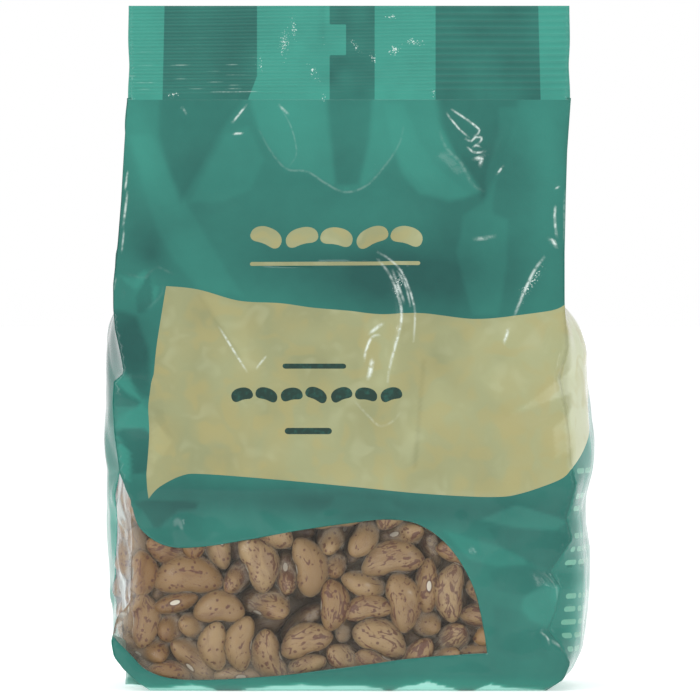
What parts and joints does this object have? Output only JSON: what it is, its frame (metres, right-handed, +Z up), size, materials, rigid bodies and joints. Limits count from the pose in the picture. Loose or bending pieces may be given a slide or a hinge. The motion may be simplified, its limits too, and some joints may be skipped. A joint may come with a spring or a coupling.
{
  "type": "bag of dried beans",
  "caption": "Side-gusseted film bag of dried speckled beans standing on its folded base, with a crimped top seal and a clear window low on the front.",
  "frame": {"origin": "centre of the base that the bag stands on", "axes": "+Z up to the top seal, the front panel with the window faces -Y, and +X runs to the right along the seal as seen from the front"},
  "size_m": [0.124, 0.0708, 0.174],
  "materials": {
    "printed_film": "glossy printed film, teal with a pale panel",
    "beans": "dry bean skins, tan with dark speckles, behind clear film",
    "clear_film": "clear glossy film of the window, slightly hazy"
  },
  "bodies": {
    "root": {"bag": "printed_film", "beans": "beans"}
  },
  "joints": []
}
